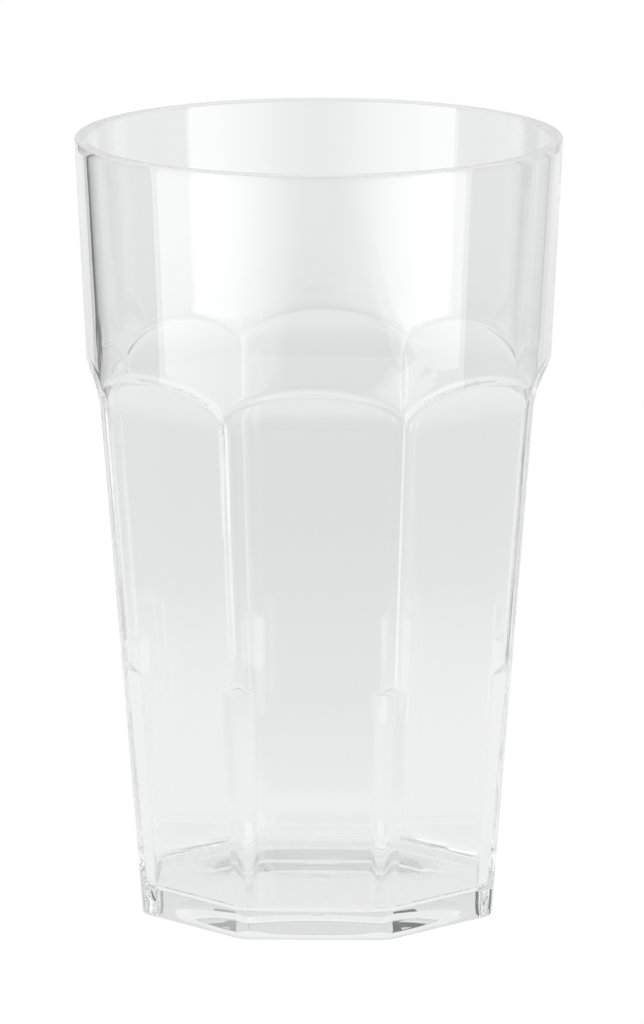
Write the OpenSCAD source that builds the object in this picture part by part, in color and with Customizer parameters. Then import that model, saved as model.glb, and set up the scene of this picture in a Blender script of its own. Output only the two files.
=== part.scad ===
// Clear plastic stacking tumbler, one injection moulded piece.
// Millimetres, +Z up, underside of the foot on Z = 0, axis on the origin.

/* [Body] */
// Height of the tumbler from foot to rim
cup_h = 138.2; // [120:0.2:160]
// Outside diameter at the rim
rim_d = 86; // [76:0.5:96]
// How far the plain band narrows from the rim down to the arches
band_draft = 1.88; // [1:0.02:3]

/* [Facets] */
// Number of flat facets round the body
facets = 8; // [7:1:10]
// How far the top of a flat stands back from the band
facet_step = 3.15; // [2.4:0.05:4]
// How far a flat leans in from its top down to the foot
flat_draft = 6.97; // [4:0.1:9]
// Height from the top of the flats up to the rim
shoulder_drop = 46.2; // [36:0.2:60]
// How far the shoulder between the arches widens down to the top of the flats
shoulder_out = 0.42; // [0.2:0.02:0.7]
// Radius of the hollow curve that closes a facet at its top
scoop_r = 11.5; // [8:0.1:15]
// Amount the edges between facets are eased
edge_ease = 0.16; // [0.08:0.01:0.4]

/* [Wall] */
// Thickness of the wall in the faceted part
wall_t = 2.4; // [2:0.1:3]
// Thickness of the wall at the rim
rim_t = 2.1; // [1.8:0.1:2.6]
// Thickness of the floor
floor_t = 4.7; // [4:0.1:6.5]
// Radius where the floor meets the inside wall
floor_fillet = 1.8; // [1.2:0.1:5]

/* [Stacking lugs] */
// Height of the ledge on the stacking lugs
lug_z = 44.6; // [34:0.2:54]
// Height of the slope on top of a ledge
lug_rise = 1.8; // [1:0.1:3]
// Distance a lug stands in from the inside corner at its ledge
lug_in = 1.02; // [0.9:0.02:1.3]
// Distance a lug stands in from the inside corner at the floor
lug_foot_in = 0.56; // [0.4:0.02:0.8]

/* [Foot] */
// Width of the foot ring between a flat and the round hollow under the floor
foot_ring = 11; // [6:0.2:14]
// Depth of the domed hollow under the floor
hollow_h = 0.9; // [0.6:0.1:1.6]
// Slope round the outside of the foot
foot_ease = 0.6; // [0.3:0.1:1]
// Diameter of the gate dimple in the middle of the hollow
gate_d = 4; // [3:0.5:8]

/* [Hidden] */
round_fn = 144;
curve_fn = 120;
lip_steps = 5;
dome_steps = 8;
reach = 12;
half_turn = 180 / facets;
corner_k = 1 / cos(half_turn);
rim_r = rim_d / 2;
lip_r = rim_t / 2;
lip_z = cup_h - lip_r;
// Distances from the axis of the band, of a flat at its top and foot, and of the hollow's edge
band_r = rim_r - band_draft;
top_a = band_r - facet_step;
foot_a = top_a - flat_draft;
hollow_r = foot_a - foot_ring;
flat_top_z = cup_h - shoulder_drop;
facet_slope = (top_a - foot_a) / flat_top_z;
facet_lean = atan(facet_slope);
corner_slope = facet_slope * corner_k;
// Centre of the hollow curve, square to the flat at its top end
scoop_x = top_a + scoop_r * cos(facet_lean);
scoop_z = flat_top_z - scoop_r * sin(facet_lean);
// Height of the arches, where the hollow curve leaves the band
arch_z = scoop_z + sqrt(pow(scoop_r, 2) - pow(scoop_x - band_r, 2));
// The band ends and its shoulder starts this far above the arches
band_clear = 0.4;
shoulder_z = arch_z + band_clear;
shoulder_slope = shoulder_out / (shoulder_z - flat_top_z);
// Height of the points where two arches meet
foot_rise = 2;
arch_foot_z = flat_top_z + foot_rise;
// Sloped thickness of the wall measured level
wall_level = wall_t / cos(facet_lean);
// Where the floor fillet touches the floor and the inside of a facet
fillet_x = foot_a - wall_level + facet_slope * (floor_t + floor_fillet) - floor_fillet / cos(facet_lean);
fillet_z = floor_t + floor_fillet;
// Twice the width of a lug's face at its ledge
lug_span = 4 * lug_in / tan(half_turn);
gate_h = 0.35;
gate_ball = (pow(gate_d / 2, 2) + pow(gate_h, 2)) / (2 * gate_h);
// Radius of the ball that the domed hollow is cut with
dome_ball = (pow(hollow_r, 2) + pow(hollow_h, 2)) / (2 * hollow_h);

// Quarter of the round rim lip, out from its top (side 1) or in (side -1)
function lip_arc(side) = [
    for (i = [0 : lip_steps])
        let (a = 90 * i / lip_steps)
            [rim_r - lip_r + side * lip_r * cos(a), lip_z + lip_r * sin(a)]
];

// Roof of the domed hollow, from its edge in to the axis
function dome_arc() = [
    for (i = [0 : dome_steps])
        let (x = hollow_r * (1 - i / dome_steps))
            [x, hollow_h - dome_ball + sqrt(pow(dome_ball, 2) - pow(x, 2))]
];

// Turned outside or inside: eased corners, the shoulder between the arches, band and lip
module turned(low_z, top_z, side, band_x, corner_x) {
    shoulder_x = band_x + shoulder_out;
    rotate_extrude($fn = round_fn)
        polygon(concat(
            [[0, low_z],
             [corner_x + corner_slope * low_z, low_z],
             [min(corner_x + corner_slope * flat_top_z, shoulder_x), flat_top_z],
             [band_x + shoulder_slope * (shoulder_z - arch_foot_z), arch_foot_z],
             [band_x, shoulder_z]],
            lip_arc(side),
            [[rim_r - lip_r, top_z],
             [0, top_z]]
        ));
}

// Cutter of one facet lying along X: the flat and the hollow curve above it
module facet_cutter(inset) {
    span = rim_d;
    flat_x = foot_a - inset / cos(facet_lean);
    tip_r = scoop_r + inset;
    tip_x = scoop_x - tip_r * cos(facet_lean);
    tip_z = scoop_z + tip_r * sin(facet_lean);
    rotate([90, 0, 0])
        linear_extrude(height = span, center = true)
            polygon([
                [flat_x - facet_slope * reach, -reach],
                [tip_x, tip_z],
                [scoop_x, scoop_z],
                [rim_d, scoop_z],
                [rim_d, -reach]
            ]);
    translate([scoop_x, 0, scoop_z])
        rotate([90, 0, 0])
            cylinder(h = span, r = tip_r, center = true, $fn = curve_fn);
}

// Slope along the bottom edge of one facet
module foot_cutter() {
    rotate([90, 0, 0])
        linear_extrude(height = rim_d, center = true)
            polygon([
                [foot_a - foot_ease * 2, -foot_ease],
                [foot_a + foot_ease, foot_ease * 2],
                [foot_a + reach, foot_ease * 2],
                [foot_a + reach, -foot_ease]
            ]);
}

// Fillet left between the floor and one facet
module fillet_bar() {
    rotate([90, 0, 0])
        linear_extrude(height = rim_d, center = true)
            difference() {
                translate([fillet_x, 0])
                    square([floor_fillet + reach, fillet_z]);
                translate([fillet_x, fillet_z])
                    circle(r = floor_fillet, $fn = curve_fn);
            }
}

// Stacking lug: a flat face across one inside corner, with a sloped ledge on top
module lug() {
    corner_x = (foot_a - wall_level) * corner_k;
    ledge_x = corner_x + corner_slope * lug_z;
    top_x = ledge_x + corner_slope * lug_rise;
    rotate([90, 0, 0])
        linear_extrude(height = lug_span, center = true)
            polygon([
                [corner_x - lug_foot_in, 0],
                [ledge_x - lug_in, lug_z],
                [top_x, lug_z + lug_rise],
                [top_x + reach, lug_z + lug_rise],
                [top_x + reach, 0]
            ]);
}

module ring_of(turn = 0) {
    for (i = [0 : facets - 1])
        rotate([0, 0, (2 * i + turn) * half_turn])
            children();
}

// Outside of the tumbler as one solid
module outside() {
    difference() {
        turned(0, cup_h, 1, band_r, foot_a * corner_k - edge_ease);
        ring_of()
            facet_cutter(0);
        ring_of()
            foot_cutter();
    }
}

// Inside space, with the floor fillets and the lugs left out of it
module inside() {
    difference() {
        turned(floor_t, cup_h + reach, -1, band_r - wall_t,
            (foot_a - wall_level) * corner_k - edge_ease);
        ring_of()
            facet_cutter(wall_t);
        ring_of()
            fillet_bar();
        ring_of(turn = 1)
            lug();
    }
}

// Round domed hollow under the floor and the gate dimple in its roof
module hollow() {
    rotate_extrude($fn = round_fn)
        polygon(concat(
            [[0, -reach],
             [hollow_r, -reach]],
            dome_arc()
        ));
    translate([0, 0, hollow_h + gate_h - gate_ball])
        sphere(r = gate_ball, $fn = curve_fn);
}

module tumbler() {
    color("gainsboro")
        difference() {
            outside();
            inside();
            hollow();
        }
}

tumbler();
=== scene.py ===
import math

import bmesh
import bpy
from bpy.props import FloatProperty, FloatVectorProperty, IntProperty, PointerProperty
from mathutils import Matrix, Vector


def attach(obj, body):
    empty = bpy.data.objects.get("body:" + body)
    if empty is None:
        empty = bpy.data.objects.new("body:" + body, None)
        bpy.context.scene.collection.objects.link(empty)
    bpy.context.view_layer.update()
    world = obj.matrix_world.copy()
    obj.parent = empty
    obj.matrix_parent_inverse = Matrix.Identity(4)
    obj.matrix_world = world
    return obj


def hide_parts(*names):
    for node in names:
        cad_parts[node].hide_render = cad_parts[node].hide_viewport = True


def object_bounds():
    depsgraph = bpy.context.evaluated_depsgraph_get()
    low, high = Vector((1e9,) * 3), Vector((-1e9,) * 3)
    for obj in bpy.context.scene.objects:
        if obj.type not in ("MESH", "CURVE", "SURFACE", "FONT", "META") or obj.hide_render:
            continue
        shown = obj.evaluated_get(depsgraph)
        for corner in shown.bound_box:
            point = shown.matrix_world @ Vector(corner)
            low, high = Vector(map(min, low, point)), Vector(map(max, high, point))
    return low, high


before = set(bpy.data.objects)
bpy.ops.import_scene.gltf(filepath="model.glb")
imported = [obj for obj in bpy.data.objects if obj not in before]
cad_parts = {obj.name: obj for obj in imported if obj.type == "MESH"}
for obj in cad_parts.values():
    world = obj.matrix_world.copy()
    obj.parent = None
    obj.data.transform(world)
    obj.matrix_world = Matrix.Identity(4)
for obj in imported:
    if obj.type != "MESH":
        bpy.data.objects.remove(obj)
CAD_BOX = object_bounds()

bl_info = {
    "name": "Faceted Tumbler",
    "version": (1, 0, 0),
    "blender": (4, 5, 0),
    "location": "View3D > Sidebar > Tumbler",
    "description": "Clear plastic stacking tumbler in a white studio",
    "category": "Add Mesh",
}

MM = 0.001

# Height and rim radius of the CAD tumbler, to a hundredth of a millimetre
HEIGHT = round(CAD_BOX[1].z, 5)
RIM_RADIUS = round(CAD_BOX[1].x, 5)

# The plain band starts this far above the arches
BAND_CLEAR = 0.0004

# Distance given for a facet above the end of its hollow curve, where the band is nearer
FAR = 1.0

# The search for an arch's height starts this far below the flats' top
ARCH_SEARCH = 0.006
SEARCH_STEPS = 40

# Mesh columns: millimetres from a corner, on a flat that stands COLUMN_REF from the axis
COLUMN_STEPS = (
    0.0, 0.09, 0.18, 0.28, 0.39, 0.52, 0.68, 0.88, 1.08, 1.26, 1.42, 1.58, 1.74, 1.90,
    2.06, 2.22, 2.38, 2.54, 2.70, 2.86, 3.04, 3.3, 3.8, 4.7, 6.1, 8.0, 10.0, 12.0,
)
COLUMN_REF = 34.0

# Mesh rings under the tumbler: shares of the gate's radius, steps to the foot, shares of the foot
GATE_RINGS = (0.0, 0.2, 0.4, 0.6, 0.8, 0.92, 1.0, 1.08, 1.3, 1.8, 2.5)
HOLLOW_RINGS = 12
FOOT_RINGS = (0.5, 0.9)
FOOT_EDGE_RINGS = 5

# Mesh rings up the outside of the flats and down their inside, as heights
FLAT_RINGS = (0.003, 0.01, 0.02, 0.032, 0.045, 0.056, 0.066, 0.075, 0.082, 0.087, 0.0905)
CORE_RINGS = (0.0905, 0.086, 0.079, 0.07, 0.06, 0.052)

# Mesh rings of a hollow curve, from just below its start to just below its arch
SCOOP_RINGS = 11
SCOOP_START = 0.0004
SCOOP_END = 0.0009

# Mesh rings across an arch and down past a ledge, in millimetres above them
ARCH_RINGS = (-0.7, -0.5, -0.35, -0.22, -0.1, 0.0, 0.1, 0.22, 0.35, 0.5, 0.8)
LEDGE_RINGS = (2.4, 1.8, 1.56, 1.46, 1.3, 1.0, 0.7, 0.4, 0.2, 0.08, -0.02, -0.12, -0.3, -0.8)

# Mesh rings of the band, from above the arch to below the lip, closer together near the arch
BAND_RINGS = 8
BAND_START = 0.0015
BAND_END = 0.0006
BAND_CROWD = 1.2

# Mesh rings of each half of the lip, of a lug below its ledge, of the fillet and of the floor
LIP_RINGS = 6
LUG_RINGS = 7
LUG_START = 0.042
LUG_END = 0.0006
FILLET_RINGS = 9
FLOOR_RINGS = (0.94, 0.82, 0.66, 0.5, 0.34, 0.2, 0.1, 0.04, 0.0)

# The floor's outline is the wall's at this share of the fillet's top
FLOOR_SHARE = 0.6

# Rings bend along with an arch: from not at all to fully below it, and back above it
FOLLOW_BELOW = (0.036, 0.011)
FOLLOW_ABOVE = (0.004, 0.026)

# Points nearer to the axis than this are on it, and points nearer to each other are one
ON_AXIS = 1e-7
SAME_POINT = 1e-6

# Moulded surface: noise scales and details, and how far the shine varies with the fine noise
RIPPLE_SCALE = 70.0
RIPPLE_DETAIL = 1.0
SHINE_SCALE = 900.0
SHINE_DETAIL = 2.0
SHINE_NOISE = (0.35, 0.75)
SHINE_RANGE = (0.6, 1.6)
POLISH = 0.012

# Studio floor, just under the foot, and where its pool of light fades, as shares of its reach
FLOOR_RADIUS = 3.0
FLOOR_SEGMENTS = 96
FLOOR_GAP = 0.0002
POOL_FADE = (0.8, 1.5)

# Directions over which the surround brightens away from the camera, and up to the light overhead
ROOM_AWAY = (-0.25, 0.15)
ROOM_UP = (0.28, 0.95)

# Both ends of each panel on the floor, as places right of the tumbler and behind it
SOFTBOX_LEFT = ((-0.24, -0.045), (-0.07, -0.5))
SOFTBOX_RIGHT = ((0.36, -0.11), (0.10, -0.59))
CARD_LEFT = ((-0.346, 0.2), (-0.222, 0.284))
CARD_LEFT_ARM = ((-0.236, 0.272), (-0.169, 0.318))
CARD_RIGHT = ((0.346, 0.2), (0.222, 0.284))
CARD_RIGHT_ARM = ((0.222, 0.284), (0.17, 0.317))

# Camera, and the bounces that light takes to run along inside the clear wall
SENSOR = 36.0
CLIP_START = 0.05
CLIP_END = 20.0
WALL_BOUNCES = 160


def shares(count):
    """Even steps from 0 to 1."""
    return [step / count for step in range(count + 1)]


def mixed(a, b, t):
    """The value a share t of the way from a to b."""
    return a + (b - a) * t


def smooth_step(low, high, x):
    """Rises from 0 to 1 between low and high with flat ends."""
    t = min(max((x - low) / (high - low), 0.0), 1.0)
    return t * t * (3.0 - 2.0 * t)


def soft_min(a, b, blend):
    """The smaller of two distances, rounded where they meet by a quarter of the blend."""
    h = max(blend - abs(a - b), 0.0) / blend
    return min(a, b) - h * h * blend / 4


class TumblerSizes(bpy.types.PropertyGroup):
    """Sizes of the moulded tumbler."""

    height: FloatProperty(
        name="Height", description="Foot to rim", default=HEIGHT, unit="LENGTH"
    )
    rim_radius: FloatProperty(
        name="Rim Radius", description="Outside radius at the rim", default=RIM_RADIUS, unit="LENGTH"
    )
    band_radius: FloatProperty(
        name="Band Radius",
        description="Outside radius of the band above the arches",
        default=0.04112,
        unit="LENGTH",
    )
    facets: IntProperty(
        name="Facets", description="Number of flats round the body", default=8, min=6, max=10
    )
    foot_flat: FloatProperty(
        name="Foot Flat",
        description="Distance of a flat from the axis at the foot",
        default=0.031,
        unit="LENGTH",
    )
    top_flat: FloatProperty(
        name="Top Flat",
        description="Distance of a flat from the axis at its top",
        default=0.03797,
        unit="LENGTH",
    )
    flat_top: FloatProperty(
        name="Flat Top", description="Height where the flats end", default=0.092, unit="LENGTH"
    )
    shoulder_out: FloatProperty(
        name="Shoulder Out",
        description="How far the shoulder between the arches widens down to the flats",
        default=0.00042,
        unit="LENGTH",
    )
    scoop: FloatProperty(
        name="Scoop Radius",
        description="Radius of the hollow curve under an arch",
        default=0.0115,
        unit="LENGTH",
    )
    wall: FloatProperty(
        name="Wall", description="Thickness of the faceted wall", default=0.0024, unit="LENGTH"
    )
    rim_wall: FloatProperty(
        name="Rim Wall", description="Thickness at the rim", default=0.0021, unit="LENGTH"
    )
    lip_round: FloatProperty(
        name="Lip Round", description="Rounding of the lip's edges", default=0.0004, unit="LENGTH"
    )
    floor: FloatProperty(
        name="Floor", description="Thickness of the floor", default=0.0047, unit="LENGTH"
    )
    floor_fillet: FloatProperty(
        name="Floor Fillet",
        description="Radius between floor and wall",
        default=0.0018,
        unit="LENGTH",
    )
    corner_blend: FloatProperty(
        name="Corner Blend",
        description="Width of the rounding at the corners outside",
        default=0.001,
        unit="LENGTH",
    )
    core_corner: FloatProperty(
        name="Core Corner",
        description="Width of the rounding at the corners inside",
        default=0.0007,
        unit="LENGTH",
    )
    arch_blend: FloatProperty(
        name="Arch Blend",
        description="Width of the rounding along the arches outside",
        default=0.0004,
        unit="LENGTH",
    )
    core_blend: FloatProperty(
        name="Core Blend",
        description="Width of the rounding along the arches inside",
        default=0.0006,
        unit="LENGTH",
    )
    band_blend: FloatProperty(
        name="Band Blend",
        description="Width of the rounding where the band meets its shoulder",
        default=0.0001,
        unit="LENGTH",
    )
    ledge: FloatProperty(
        name="Ledge Height",
        description="Height of the stacking ledges",
        default=0.0446,
        unit="LENGTH",
    )
    ledge_rise: FloatProperty(
        name="Ledge Rise",
        description="Height of the slope on top of a ledge",
        default=0.0018,
        unit="LENGTH",
    )
    ledge_depth: FloatProperty(
        name="Ledge Depth",
        description="How far a lug stands in at its ledge",
        default=0.00102,
        unit="LENGTH",
    )
    lug_foot_depth: FloatProperty(
        name="Lug Foot Depth",
        description="How far a lug stands in at the floor",
        default=0.00056,
        unit="LENGTH",
    )
    lug_blend: FloatProperty(
        name="Lug Blend",
        description="Width of the rounding along a lug",
        default=0.0002,
        unit="LENGTH",
    )
    hollow_radius: FloatProperty(
        name="Hollow Radius",
        description="Radius of the domed hollow under the floor",
        default=0.02,
        unit="LENGTH",
    )
    hollow: FloatProperty(
        name="Hollow Depth",
        description="Depth of the domed hollow under the floor",
        default=0.0009,
        unit="LENGTH",
    )
    foot_round: FloatProperty(
        name="Foot Rounding",
        description="Rounding of the outside edge of the foot",
        default=0.0006,
        unit="LENGTH",
    )
    gate_radius: FloatProperty(
        name="Gate Radius", description="Radius of the gate dimple", default=0.002, unit="LENGTH"
    )
    gate_depth: FloatProperty(
        name="Gate Depth", description="Depth of the gate dimple", default=0.00035, unit="LENGTH"
    )


class TumblerLooks(bpy.types.PropertyGroup):
    """Finish of the clear plastic."""

    tint: FloatVectorProperty(
        name="Tint",
        description="Colour of the clear plastic",
        subtype="COLOR",
        size=3,
        default=(0.985, 0.99, 0.99),
        min=0.0,
        max=1.0,
    )
    ior: FloatProperty(
        name="IOR", description="Refractive index of the plastic", default=1.58, min=1.3, max=1.8
    )
    roughness: FloatProperty(
        name="Roughness",
        description="Roughness of the polished mould surface",
        default=POLISH,
        min=0.0,
        max=0.3,
    )
    ripple: FloatProperty(
        name="Ripple",
        description="Height of the slow ripples left by moulding",
        default=0.00002,
        unit="LENGTH",
    )


class StudioLooks(bpy.types.PropertyGroup):
    """White studio round the tumbler."""

    lens: FloatProperty(
        name="Lens", description="Focal length for a 36 mm long side", default=312.4, unit="CAMERA"
    )
    distance: FloatProperty(
        name="Distance", description="Camera to the tumbler's axis", default=1.5777, unit="LENGTH"
    )
    pitch: FloatProperty(
        name="Pitch",
        description="How far the camera looks down",
        default=math.radians(11.6525),
        subtype="ANGLE",
    )
    turn: FloatProperty(
        name="Turn",
        description="How far the camera stands round to the right",
        default=math.radians(1.43),
        subtype="ANGLE",
    )
    aim_height: FloatProperty(
        name="Aim Height",
        description="Height that the camera looks at",
        default=0.07053,
        unit="LENGTH",
    )
    aim_side: FloatProperty(
        name="Aim Side",
        description="How far the camera stands to the right of the axis",
        default=0.00057,
        unit="LENGTH",
    )
    pool: FloatProperty(
        name="Pool",
        description="Brightness of the pool of light on the floor",
        default=0.885,
        min=0.0,
    )
    pool_side: FloatProperty(
        name="Pool Side",
        description="Half width of the pool of light beside the tumbler",
        default=0.36,
        unit="LENGTH",
    )
    pool_front: FloatProperty(
        name="Pool Front",
        description="Reach of the pool of light in front of the tumbler",
        default=0.1,
        unit="LENGTH",
    )
    dip: FloatProperty(
        name="Dip",
        description="Brightness of the floor's dimmest part behind the tumbler",
        default=0.8,
        min=0.0,
    )
    dip_place: FloatProperty(
        name="Dip Place",
        description="Distance of the floor's dimmest part behind the tumbler",
        default=0.39,
        unit="LENGTH",
    )
    dip_width: FloatProperty(
        name="Dip Width",
        description="Half width of the floor's dimmer part",
        default=0.3,
        unit="LENGTH",
    )
    floor_far: FloatProperty(
        name="Floor Far",
        description="Brightness of the floor outside the pool of light",
        default=0.475,
        min=0.0,
    )
    room_back: FloatProperty(
        name="Room Back",
        description="Brightness of the surround behind the tumbler",
        default=0.74,
        min=0.0,
    )
    room_camera: FloatProperty(
        name="Room Camera",
        description="Brightness of the surround behind the camera",
        default=0.1,
        min=0.0,
    )
    room_top: FloatProperty(
        name="Room Top",
        description="Brightness of the surround overhead",
        default=0.67,
        min=0.0,
    )
    softbox: FloatProperty(
        name="Softbox",
        description="Brightness of a softbox beside the tumbler",
        default=2.0,
        min=0.0,
    )
    softbox_end: FloatProperty(
        name="Softbox End",
        description="Brightness of a softbox at its end towards the camera",
        default=0.56,
        min=0.0,
    )
    softbox_height: FloatProperty(
        name="Softbox Height",
        description="Height of a softbox above the floor",
        default=0.2,
        unit="LENGTH",
    )
    card: FloatProperty(
        name="Card",
        description="Brightness of the dark card behind the tumbler's left edge",
        default=0.05,
        min=0.0,
    )
    card_right: FloatProperty(
        name="Card Right",
        description="Brightness of the grey card behind the tumbler's right edge",
        default=0.6,
        min=0.0,
    )
    card_fade: FloatProperty(
        name="Card Fade",
        description="Brightness that the cards fade out to at their outer ends",
        default=0.7,
        min=0.0,
    )
    card_height: FloatProperty(
        name="Card Height",
        description="Height of the cards above the floor",
        default=0.17,
        unit="LENGTH",
    )
    card_arm: FloatProperty(
        name="Card Arm",
        description="Height above the floor where the arm of a card starts",
        default=0.075,
        unit="LENGTH",
    )
    arm_left: FloatProperty(
        name="Arm Left", description="Brightness of the left card's arm", default=0.15, min=0.0
    )
    arm_right: FloatProperty(
        name="Arm Right", description="Brightness of the right card's arm", default=0.4, min=0.0
    )


class MouldForm:
    """Outside and inside surfaces of the tumbler as distances from its axis."""

    def __init__(self, size):
        self.size = size
        self.half = math.pi / size.facets
        self.slope = (size.top_flat - size.foot_flat) / size.flat_top
        self.lean = math.atan(self.slope)
        self.scoop_x = size.top_flat + size.scoop * math.cos(self.lean)
        self.scoop_z = size.flat_top - size.scoop * math.sin(self.lean)
        reach = self.scoop_x - size.band_radius
        self.arch_z = self.scoop_z + math.sqrt(size.scoop**2 - reach**2)
        self.band_z = self.arch_z + BAND_CLEAR
        self.lip_z = size.height - size.rim_wall / 2
        self.fillet_z = size.floor + size.floor_fillet
        edge = math.tan(self.half)
        steps = [step * MM / (COLUMN_REF * MM) for step in COLUMN_STEPS]
        self.columns = [0.0] + [math.atan(edge - step) for step in reversed(steps)]
        self.arches = {
            inset: [self.arch_height(angle, inset) for angle in self.columns]
            for inset in (0.0, size.wall)
        }

    def flat(self, z, inset):
        """Distance of a facet from the axis, with the hollow curve at its top."""
        size = self.size
        tip_r = size.scoop + inset
        tip_z = self.scoop_z + tip_r * math.sin(self.lean)
        if z <= tip_z:
            return size.foot_flat - inset / math.cos(self.lean) + self.slope * z
        rise = z - self.scoop_z
        if rise >= tip_r:
            return FAR
        return self.scoop_x - math.sqrt(tip_r**2 - rise**2)

    def band(self, z, inset):
        """Radius of the plain conical band, carried on downwards as its shoulder."""
        size = self.size
        rim = size.rim_radius - (size.rim_wall if inset else 0.0)
        start = size.band_radius - inset
        cone = start + (rim - start) * (z - self.band_z) / (self.lip_z - self.band_z)
        shoulder = start + size.shoulder_out * (self.band_z - z) / (self.band_z - size.flat_top)
        return -soft_min(-cone, -shoulder, size.band_blend)

    def wall(self, angle, z, inset):
        """Distance of the wall from the axis at an angle from a facet's middle."""
        size = self.size
        corner = size.core_corner if inset else size.corner_blend
        arch = size.core_blend if inset else size.arch_blend
        flat = self.flat(z, inset)
        near = flat / math.cos(angle)
        far = flat / math.cos(2 * self.half - angle)
        return soft_min(soft_min(near, far, corner), self.band(z, inset), arch)

    def arch_height(self, angle, inset):
        """Height where the facet leaves the band at an angle from its middle."""
        low = self.size.flat_top - ARCH_SEARCH
        high = self.scoop_z + self.size.scoop + inset
        for _ in range(SEARCH_STEPS):
            middle = (low + high) / 2
            if self.flat(middle, inset) / math.cos(angle) < self.band(middle, inset):
                low = middle
            else:
                high = middle
        return (low + high) / 2

    def dropped(self, column, z, inset):
        """Height of a ring once it follows the arch."""
        arches = self.arches[inset]
        top = arches[0]
        fall = arches[column] - top
        taken = smooth_step(top - FOLLOW_BELOW[0], top - FOLLOW_BELOW[1], z)
        let_go = smooth_step(top + FOLLOW_ABOVE[0], top + FOLLOW_ABOVE[1], z)
        return z + fall * (taken * (1.0 - let_go))

    def lugged(self, angle, z, radius):
        """Inside wall with the stacking lug, a flat face across its corner."""
        size = self.size
        up = (z - size.ledge) / size.ledge_rise
        if up >= 1.0:
            return radius
        part = min(max(z / size.ledge, 0.0), 1.0)
        depth = mixed(size.lug_foot_depth, size.ledge_depth, part) * (1.0 - max(up, 0.0))
        flat = size.foot_flat - size.wall / math.cos(self.lean) + self.slope * z
        corner = flat / math.cos(self.half)
        lug = (corner - depth) / math.cos(self.half - angle)
        return min(radius, soft_min(radius, lug, size.lug_blend))

    def inside(self, column, z):
        """Distance of the inside wall from the axis, lugs included."""
        angle = self.columns[column]
        return self.lugged(angle, z, self.wall(angle, z, self.size.wall))

    def under_point(self, radius, column):
        """Domed hollow under the floor, with the gate dimple in its roof."""
        size = self.size
        dimple = max(0.0, 1.0 - (radius / size.gate_radius) ** 2)
        roof = size.hollow * (1.0 - (radius / size.hollow_radius) ** 2)
        return radius, roof + size.gate_depth * dimple

    def foot_point(self, share, column):
        """Flat ring that the tumbler stands on."""
        size = self.size
        edge = self.wall(self.columns[column], 0.0, 0.0) - size.foot_round
        return mixed(size.hollow_radius, edge, share), 0.0

    def foot_edge_point(self, share, column):
        """Rounding round the outside of the foot."""
        size = self.size
        turn = math.pi / 2 * share
        z = size.foot_round * (1.0 - math.cos(turn))
        back = size.foot_round * (1.0 - math.sin(turn))
        return self.wall(self.columns[column], z, 0.0) - back, z

    def outside_point(self, level, column):
        """Flats, hollow curves, shoulder and band outside."""
        z = self.dropped(column, level, 0.0)
        return self.wall(self.columns[column], z, 0.0), z

    def lip_outside_point(self, share, column):
        """Rounding from the outside of the lip to its flat top."""
        size = self.size
        turn = math.pi / 2 * share
        edge = size.rim_radius - size.lip_round
        down = size.lip_round * (1.0 - math.sin(turn))
        return edge + size.lip_round * math.cos(turn), size.height - down

    def lip_inside_point(self, share, column):
        """Rounding from the lip's flat top to its inside."""
        size = self.size
        turn = math.pi / 2 * share
        edge = size.rim_radius - size.rim_wall + size.lip_round
        down = size.lip_round * (1.0 - math.cos(turn))
        return edge - size.lip_round * math.sin(turn), size.height - down

    def inside_point(self, level, column):
        """Band, hollow curves, flats and lugs inside."""
        z = self.dropped(column, level, self.size.wall)
        return self.inside(column, z), z

    def fillet_point(self, share, column):
        """Hollow rounding between the inside wall and the floor."""
        size = self.size
        turn = math.pi / 2 * share
        z = self.fillet_z - size.floor_fillet * math.sin(turn)
        return self.inside(column, z) - size.floor_fillet * (1.0 - math.cos(turn)), z

    def floor_point(self, share, column):
        """Flat floor, which turns from the wall's outline into a circle towards the middle."""
        size = self.size
        level = self.fillet_z * FLOOR_SHARE
        edge = self.inside(column, level) - size.floor_fillet
        circle = self.inside(0, level) - size.floor_fillet
        return share * mixed(circle, edge, share**2), size.floor

    def upper_rings(self, tip, top):
        """Heights of the rings up a hollow curve, across its arch and up the band."""
        scoop = [mixed(tip - SCOOP_START, top - SCOOP_END, share) for share in shares(SCOOP_RINGS)]
        arch = [top + step * MM for step in ARCH_RINGS]
        start = top + BAND_START
        end = self.lip_z - BAND_END
        band = [mixed(start, end, share**BAND_CROWD) for share in shares(BAND_RINGS)]
        return scoop + arch + band

    def rings(self):
        """The section in order, from the middle of the underside to the middle of the floor.

        Each ring is the function that places its points and the value to give it.
        """
        size = self.size
        under = [share * size.gate_radius for share in GATE_RINGS]
        hollow = shares(HOLLOW_RINGS)[1:]
        under += [mixed(under[-1], size.hollow_radius, share) for share in hollow]
        tip = self.scoop_z + (size.scoop + size.wall) * math.sin(self.lean)
        core = self.upper_rings(tip, self.arches[size.wall][0])
        ledge = [size.ledge + step * MM for step in LEDGE_RINGS]
        lug = [mixed(LUG_START, self.fillet_z + LUG_END, share) for share in shares(LUG_RINGS)]
        section = (
            (self.under_point, under),
            (self.foot_point, FOOT_RINGS),
            (self.foot_edge_point, shares(FOOT_EDGE_RINGS)),
            (self.outside_point, FLAT_RINGS),
            (self.outside_point, self.upper_rings(size.flat_top, self.arch_z)),
            (self.lip_outside_point, shares(LIP_RINGS)),
            (self.lip_inside_point, shares(LIP_RINGS)),
            (self.inside_point, reversed(core)),
            (self.inside_point, CORE_RINGS),
            (self.inside_point, ledge),
            (self.inside_point, lug),
            (self.fillet_point, shares(FILLET_RINGS)),
            (self.floor_point, FLOOR_RINGS),
        )
        return [(point, value) for point, values in section for value in values]


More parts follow.
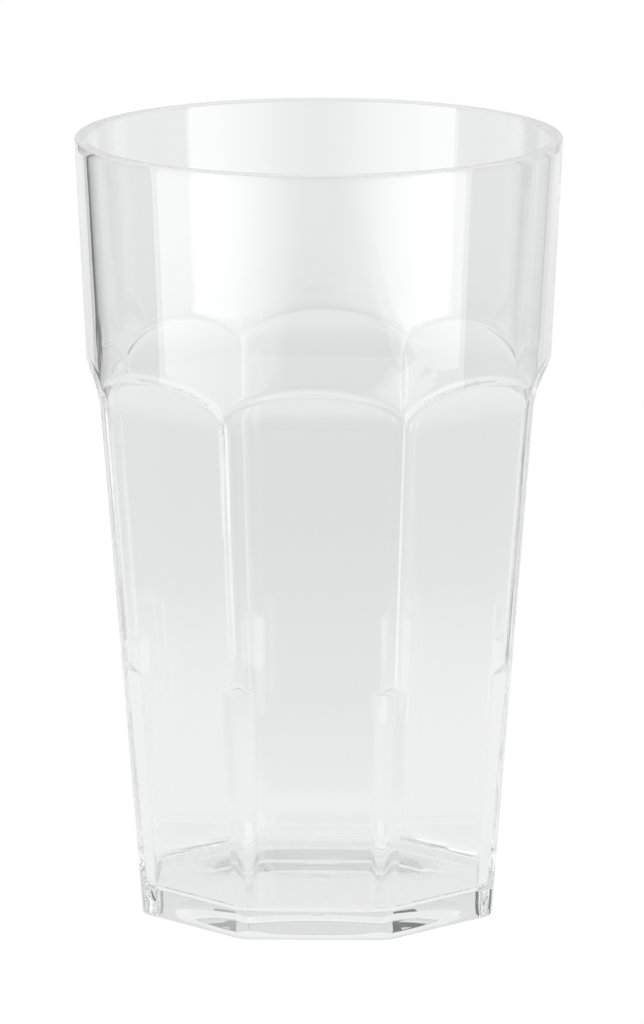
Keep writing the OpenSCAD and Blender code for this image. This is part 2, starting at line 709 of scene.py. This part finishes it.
def put_in_order(bm, place_of):
    """Orders the mesh by its vertices' places, so that it comes out the same on every run."""
    def place(vert):
        return vert[place_of]

    def corners(part):
        return sorted(vert[place_of] for vert in part.verts)

    for parts, key in ((bm.verts, place), (bm.edges, corners), (bm.faces, corners)):
        for i, part in enumerate(sorted(parts, key=key)):
            part.index = i
        parts.sort()


def turned_mesh(form):
    """Spins the section round the axis and presses the facets, arches and lugs into it.

    A vertex's place is its ring times the number of columns, plus its column.
    """
    rings = form.rings()
    half_columns = len(form.columns) - 1
    count = 2 * half_columns * form.size.facets
    bm = bmesh.new()
    place_of = bm.verts.layers.int.new("place")
    last = None
    for i, (point, value) in enumerate(rings):
        r, z = point(value, 0)
        vert = bm.verts.new((r, 0.0, z))
        vert[place_of] = i * count
        if last is not None:
            bm.edges.new((last, vert))
        last = vert
    bmesh.ops.spin(
        bm,
        geom=bm.verts[:] + bm.edges[:],
        cent=(0.0, 0.0, 0.0),
        axis=(0.0, 0.0, 1.0),
        dvec=(0.0, 0.0, 0.0),
        angle=2 * math.pi,
        steps=count,
        use_merge=True,
    )
    places = [[point(value, c) for c in range(half_columns + 1)] for point, value in rings]
    turn = 2 * math.pi / count
    for vert in bm.verts:
        if vert.co.xy.length < ON_AXIS:
            continue
        column = round(math.atan2(vert.co.y, vert.co.x) / turn) % count
        facet, local = divmod(column, 2 * half_columns)
        near = min(local, 2 * half_columns - local)
        offset = form.columns[near]
        if local > half_columns:
            offset = 2 * form.half - offset
        angle = 2 * form.half * facet + offset
        r, z = places[vert[place_of] // count][near]
        vert.co = (r * math.cos(angle), r * math.sin(angle), z)
        vert[place_of] += column
    bmesh.ops.remove_doubles(bm, verts=bm.verts[:], dist=SAME_POINT)
    bmesh.ops.recalc_face_normals(bm, faces=bm.faces[:])
    for face in bm.faces:
        face.smooth = True
    put_in_order(bm, place_of)
    bm.verts.layers.int.remove(place_of)
    mesh = bpy.data.meshes.new("tumbler_wall")
    bm.to_mesh(mesh)
    bm.free()
    return mesh


def polish_group():
    """Node group of a polished mould surface: slow ripples and a shine that varies a little."""
    name = "mould_polish"
    if name in bpy.data.node_groups:
        return bpy.data.node_groups[name]
    group = bpy.data.node_groups.new(name, "ShaderNodeTree")
    face = group.interface
    face.new_socket("Vector", in_out="INPUT", socket_type="NodeSocketVector")
    polish = face.new_socket("Roughness", in_out="INPUT", socket_type="NodeSocketFloat")
    polish.default_value = POLISH
    face.new_socket("Roughness", in_out="OUTPUT", socket_type="NodeSocketFloat")
    face.new_socket("Height", in_out="OUTPUT", socket_type="NodeSocketFloat")
    nodes, links = group.nodes, group.links
    inside = nodes.new("NodeGroupInput")
    outside = nodes.new("NodeGroupOutput")
    slow = nodes.new("ShaderNodeTexNoise")
    slow.inputs["Scale"].default_value = RIPPLE_SCALE
    slow.inputs["Detail"].default_value = RIPPLE_DETAIL
    fine = nodes.new("ShaderNodeTexNoise")
    fine.inputs["Scale"].default_value = SHINE_SCALE
    fine.inputs["Detail"].default_value = SHINE_DETAIL
    links.new(inside.outputs["Vector"], slow.inputs["Vector"])
    links.new(inside.outputs["Vector"], fine.inputs["Vector"])
    shine = nodes.new("ShaderNodeMapRange")
    shine.inputs["From Min"].default_value = SHINE_NOISE[0]
    shine.inputs["From Max"].default_value = SHINE_NOISE[1]
    shine.inputs["To Min"].default_value = SHINE_RANGE[0]
    shine.inputs["To Max"].default_value = SHINE_RANGE[1]
    links.new(fine.outputs["Fac"], shine.inputs["Value"])
    rough = nodes.new("ShaderNodeMath")
    rough.operation = "MULTIPLY"
    links.new(shine.outputs["Result"], rough.inputs[0])
    links.new(inside.outputs["Roughness"], rough.inputs[1])
    links.new(rough.outputs["Value"], outside.inputs["Roughness"])
    links.new(slow.outputs["Fac"], outside.inputs["Height"])
    return group


def clear_plastic(looks):
    """Clear moulded plastic with a polished surface."""
    material = bpy.data.materials.new("clear_plastic")
    material.use_nodes = True
    nodes, links = material.node_tree.nodes, material.node_tree.links
    shader = nodes["Principled BSDF"]
    shader.inputs["Base Color"].default_value = (*looks.tint, 1.0)
    shader.inputs["Transmission Weight"].default_value = 1.0
    shader.inputs["IOR"].default_value = looks.ior
    coords = nodes.new("ShaderNodeTexCoord")
    polish = nodes.new("ShaderNodeGroup")
    polish.node_tree = polish_group()
    polish.inputs["Roughness"].default_value = looks.roughness
    links.new(coords.outputs["Object"], polish.inputs["Vector"])
    links.new(polish.outputs["Roughness"], shader.inputs["Roughness"])
    bump = nodes.new("ShaderNodeBump")
    bump.inputs["Strength"].default_value = 1.0
    bump.inputs["Distance"].default_value = looks.ripple
    links.new(polish.outputs["Height"], bump.inputs["Height"])
    links.new(bump.outputs["Normal"], shader.inputs["Normal"])
    return material


class TUMBLER_OT_body(bpy.types.Operator):
    """Make the moulded tumbler"""

    bl_idname = "tumbler.body"
    bl_label = "Tumbler"

    def execute(self, context):
        form = MouldForm(context.scene.tumbler_sizes)
        mesh = turned_mesh(form)
        if not mesh.polygons:
            raise RuntimeError("The tumbler's mesh came out empty")
        body = bpy.data.objects.new("tumbler_body", mesh)
        context.scene.collection.objects.link(body)
        mesh.materials.append(clear_plastic(context.scene.tumbler_looks))
        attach(body, "root")
        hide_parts("tumbler")
        return {"FINISHED"}


def feed(tree, socket, value):
    """Gives an input socket a plain value or a link from another socket."""
    if isinstance(value, (int, float)):
        socket.default_value = value
    else:
        tree.links.new(value, socket)


def math_node(tree, operation, *values):
    """A math node fed with sockets or plain values; gives its output socket."""
    node = tree.nodes.new("ShaderNodeMath")
    node.operation = operation
    for socket, value in zip(node.inputs, values):
        feed(tree, socket, value)
    return node.outputs["Value"]


def ramp(tree, value, low, high, start, end):
    """Goes softly from start to end while the value goes from low to high."""
    node = tree.nodes.new("ShaderNodeMapRange")
    node.interpolation_type = "SMOOTHSTEP"
    limits = {"From Min": low, "From Max": high, "To Min": start, "To Max": end}
    for name, limit in limits.items():
        feed(tree, node.inputs[name], limit)
    feed(tree, node.inputs["Value"], value)
    return node.outputs["Result"]


def split(tree, output):
    """X, Y and Z sockets of a texture coordinate."""
    coords = tree.nodes.new("ShaderNodeTexCoord")
    parts = tree.nodes.new("ShaderNodeSeparateXYZ")
    tree.links.new(coords.outputs[output], parts.inputs["Vector"])
    return parts.outputs["X"], parts.outputs["Y"], parts.outputs["Z"]


def white_to_camera(tree, level):
    """White where the camera looks straight at it, and the level given for every other ray."""
    path = tree.nodes.new("ShaderNodeLightPath")
    pick = tree.nodes.new("ShaderNodeMix")
    tree.links.new(path.outputs["Is Camera Ray"], pick.inputs["Factor"])
    tree.links.new(level, pick.inputs["A"])
    pick.inputs["B"].default_value = 1.0
    return pick.outputs["Result"]


def glowing(name, level_of):
    """A stage material whose light comes from level_of(tree)."""
    material = bpy.data.materials.new(name)
    material.use_nodes = True
    tree = material.node_tree
    tree.nodes.remove(tree.nodes["Principled BSDF"])
    glow = tree.nodes.new("ShaderNodeEmission")
    tree.links.new(level_of(tree), glow.inputs["Strength"])
    tree.links.new(glow.outputs["Emission"], tree.nodes["Material Output"].inputs["Surface"])
    return material


def studio_floor(studio):
    """Pale floor in a pool of light that fades towards the camera and the sides."""
    bm = bmesh.new()
    bmesh.ops.create_circle(bm, cap_ends=True, segments=FLOOR_SEGMENTS, radius=FLOOR_RADIUS)
    mesh = bpy.data.meshes.new("studio_floor")
    bm.to_mesh(mesh)
    bm.free()
    floor = bpy.data.objects.new("studio_floor", mesh)
    floor.location.z = -FLOOR_GAP
    floor.rotation_euler.z = studio.turn

    def level_of(tree):
        x, y, _ = split(tree, "Object")
        behind = math_node(tree, "MAXIMUM", y, 0.0)
        before = math_node(tree, "MAXIMUM", math_node(tree, "MULTIPLY", y, -1.0), 0.0)
        across = math_node(tree, "DIVIDE", math_node(tree, "ABSOLUTE", x), studio.pool_side)
        along = math_node(tree, "DIVIDE", before, studio.pool_front)
        squares = [math_node(tree, "POWER", share, 2.0) for share in (across, along)]
        reach = math_node(tree, "SQRT", math_node(tree, "ADD", *squares))
        offset = math_node(tree, "SUBTRACT", behind, studio.dip_place)
        beside_dip = math_node(tree, "ABSOLUTE", offset)
        inner = ramp(tree, beside_dip, 0.0, studio.dip_width, studio.dip, studio.pool)
        return white_to_camera(tree, ramp(tree, reach, *POOL_FADE, inner, studio.floor_far))

    mesh.materials.append(glowing("studio_floor", level_of))
    return floor


def panel(name, studio, ends, heights, levels):
    """Upright soft panel round the tumbler, seen in the plastic but not by the camera."""
    turn = Matrix.Rotation(studio.turn, 3, "Z")
    near, far = ends
    low, high = heights
    corners = ((*near, low), (*far, low), (*far, high), (*near, high))
    bm = bmesh.new()
    face = bm.faces.new([bm.verts.new(turn @ Vector(corner)) for corner in corners])
    along = bm.loops.layers.uv.new("along")
    for loop, u in zip(face.loops, (0.0, 1.0, 1.0, 0.0)):
        loop[along].uv = (u, 0.5)
    mesh = bpy.data.meshes.new(name)
    bm.to_mesh(mesh)
    bm.free()
    made = bpy.data.objects.new(name, mesh)
    made.visible_camera = False

    def level_of(tree):
        u, _, _ = split(tree, "UV")
        return ramp(tree, u, 0.0, 1.0, *levels)

    mesh.materials.append(glowing(name, level_of))
    return made


def studio_panels(studio):
    """A softbox on either side, and a card with an arm behind each edge of the tumbler."""
    box = (0.0, studio.softbox_height)
    card = (0.0, studio.card_height)
    arm = (studio.card_arm, studio.card_height)
    light = (studio.softbox, studio.softbox_end)
    dark = (studio.card_fade, studio.card)
    dark_arm = (studio.arm_left, studio.arm_left)
    grey = (studio.card_fade, studio.card_right)
    grey_arm = (studio.arm_right, studio.arm_right)
    return (
        panel("softbox_left", studio, SOFTBOX_LEFT, box, light),
        panel("softbox_right", studio, SOFTBOX_RIGHT, box, light),
        panel("card_left", studio, CARD_LEFT, card, dark),
        panel("card_left_arm", studio, CARD_LEFT_ARM, arm, dark_arm),
        panel("card_right", studio, CARD_RIGHT, card, grey),
        panel("card_right_arm", studio, CARD_RIGHT_ARM, arm, grey_arm),
    )


def studio_room(studio):
    """Pale surround, bright behind the tumbler and dim behind the camera."""
    world = bpy.data.worlds.new("studio_room")
    world.use_nodes = True
    tree = world.node_tree
    x, y, z = split(tree, "Generated")
    straight = math_node(tree, "MULTIPLY", y, math.cos(studio.turn))
    aside = math_node(tree, "MULTIPLY", x, math.sin(studio.turn))
    away = math_node(tree, "SUBTRACT", straight, aside)
    around = ramp(tree, away, *ROOM_AWAY, studio.room_camera, studio.room_back)
    level = ramp(tree, z, *ROOM_UP, around, studio.room_top)
    background = tree.nodes["Background"]
    tree.links.new(white_to_camera(tree, level), background.inputs["Strength"])
    background.inputs["Color"].default_value = (1.0, 1.0, 1.0, 1.0)
    return world


def studio_camera(studio):
    """Camera at the photograph's viewing angle."""
    data = bpy.data.cameras.new("studio_camera")
    data.sensor_fit = "AUTO"
    data.sensor_width = SENSOR
    data.lens = studio.lens
    data.clip_start = CLIP_START
    data.clip_end = CLIP_END
    back = Vector((
        math.sin(studio.turn) * math.cos(studio.pitch),
        -math.cos(studio.turn) * math.cos(studio.pitch),
        math.sin(studio.pitch),
    ))
    right = Vector((math.cos(studio.turn), math.sin(studio.turn), 0.0))
    aim = Vector((0.0, 0.0, studio.aim_height)) + right * studio.aim_side
    camera = bpy.data.objects.new("studio_camera", data)
    camera.location = aim + back * studio.distance
    camera.rotation_mode = "QUATERNION"
    camera.rotation_quaternion = (-back).to_track_quat("-Z", "Y")
    return camera


class TUMBLER_OT_stage(bpy.types.Operator):
    """Make the floor, the soft lights and the camera"""

    bl_idname = "tumbler.stage"
    bl_label = "Studio"

    def execute(self, context):
        scene = context.scene
        studio = scene.tumbler_studio
        for thing in (studio_floor(studio), *studio_panels(studio)):
            scene.collection.objects.link(thing)
        scene.world = studio_room(studio)
        camera = studio_camera(studio)
        scene.collection.objects.link(camera)
        scene.camera = camera
        scene.view_settings.view_transform = "Standard"
        scene.cycles.max_bounces = WALL_BOUNCES
        scene.cycles.transmission_bounces = WALL_BOUNCES
        scene.cycles.glossy_bounces = WALL_BOUNCES
        return {"FINISHED"}


class TUMBLER_PT_panel(bpy.types.Panel):
    """Lists the tumbler's sizes and the steps that make it"""

    bl_idname = "TUMBLER_PT_panel"
    bl_label = "Tumbler"
    bl_space_type = "VIEW_3D"
    bl_region_type = "UI"
    bl_category = "Tumbler"

    def draw(self, context):
        scene = context.scene
        for group in (scene.tumbler_sizes, scene.tumbler_looks, scene.tumbler_studio):
            for name in group.bl_rna.properties.keys():
                if name not in ("name", "rna_type"):
                    self.layout.prop(group, name)
        for step in STEPS:
            self.layout.operator(step.bl_idname)


STEPS = (TUMBLER_OT_body, TUMBLER_OT_stage)
CLASSES = (TumblerSizes, TumblerLooks, StudioLooks, *STEPS, TUMBLER_PT_panel)


def register():
    for cls in CLASSES:
        bpy.utils.register_class(cls)
    bpy.types.Scene.tumbler_sizes = PointerProperty(type=TumblerSizes)
    bpy.types.Scene.tumbler_looks = PointerProperty(type=TumblerLooks)
    bpy.types.Scene.tumbler_studio = PointerProperty(type=StudioLooks)


def unregister():
    del bpy.types.Scene.tumbler_studio
    del bpy.types.Scene.tumbler_looks
    del bpy.types.Scene.tumbler_sizes
    for cls in reversed(CLASSES):
        bpy.utils.unregister_class(cls)


def main():
    register()
    bpy.ops.tumbler.body()
    bpy.ops.tumbler.stage()
    bpy.context.view_layer.update()


if __name__ == "__main__":
    main()
